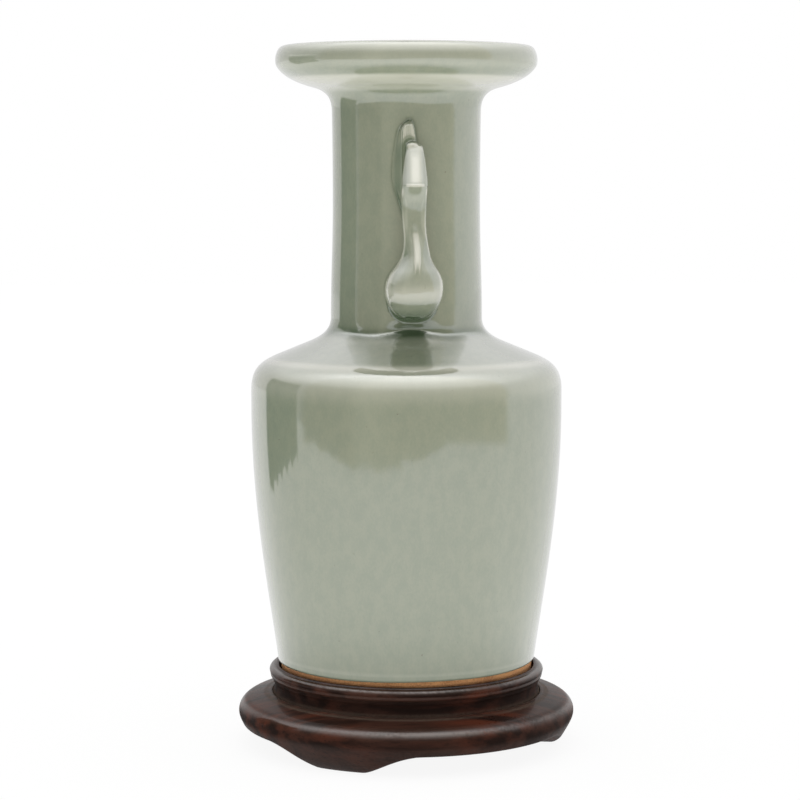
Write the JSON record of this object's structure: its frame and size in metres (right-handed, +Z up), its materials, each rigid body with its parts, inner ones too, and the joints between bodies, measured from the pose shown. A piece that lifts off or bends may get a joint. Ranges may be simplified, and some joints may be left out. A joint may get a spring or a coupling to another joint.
{
  "type": "twin-handled vase on a stand",
  "caption": "Mallet-shaped celadon vase with a cylindrical neck, dish mouth and bird handles, standing in a round hardwood stand on bracket feet.",
  "frame": {"origin": "centre of the three feet's footprint, on the table, on the common axis of stand and vase", "axes": "+Z up along the vase, +X out through the right handle, +Y to the back, through the middle of the stand's back foot"},
  "size_m": [0.1394, 0.1394, 0.2875],
  "materials": {
    "celadon_glaze": "thick glossy grey-green celadon glaze, paler where it thins at the edges",
    "bare_clay": "matt unglazed stoneware, fired orange-brown",
    "rosewood": "satin-lacquered dark red-brown hardwood, worn on its edges",
    "dowel_wood": "plain unfinished dowel"
  },
  "bodies": {
    "stand": {"stand_plinth": "rosewood", "stand_gallery": "rosewood", "stand_floor": "rosewood", "stand_foot_back": "rosewood", "stand_foot_left": "rosewood", "stand_foot_right": "rosewood", "foot_dowel_back_1": "dowel_wood", "foot_dowel_back_2": "dowel_wood", "foot_dowel_left_1": "dowel_wood", "foot_dowel_left_2": "dowel_wood", "foot_dowel_right_1": "dowel_wood", "foot_dowel_right_2": "dowel_wood"},
    "vase": {"vase_foot_ring": "bare_clay", "vase_base": "celadon_glaze", "vase_belly": "celadon_glaze", "vase_shoulder": "celadon_glaze", "vase_neck": "celadon_glaze", "vase_dish_mouth": "celadon_glaze", "handle_bird_right": "celadon_glaze", "handle_crest_right": "celadon_glaze", "handle_bird_left": "celadon_glaze", "handle_crest_left": "celadon_glaze"}
  },
  "joints": [
    {"name": "vase_lift", "type": "slide", "parent": "stand", "child": "vase", "axis": [0, 0, 1], "range_m": [0, 0.06]}
  ]
}
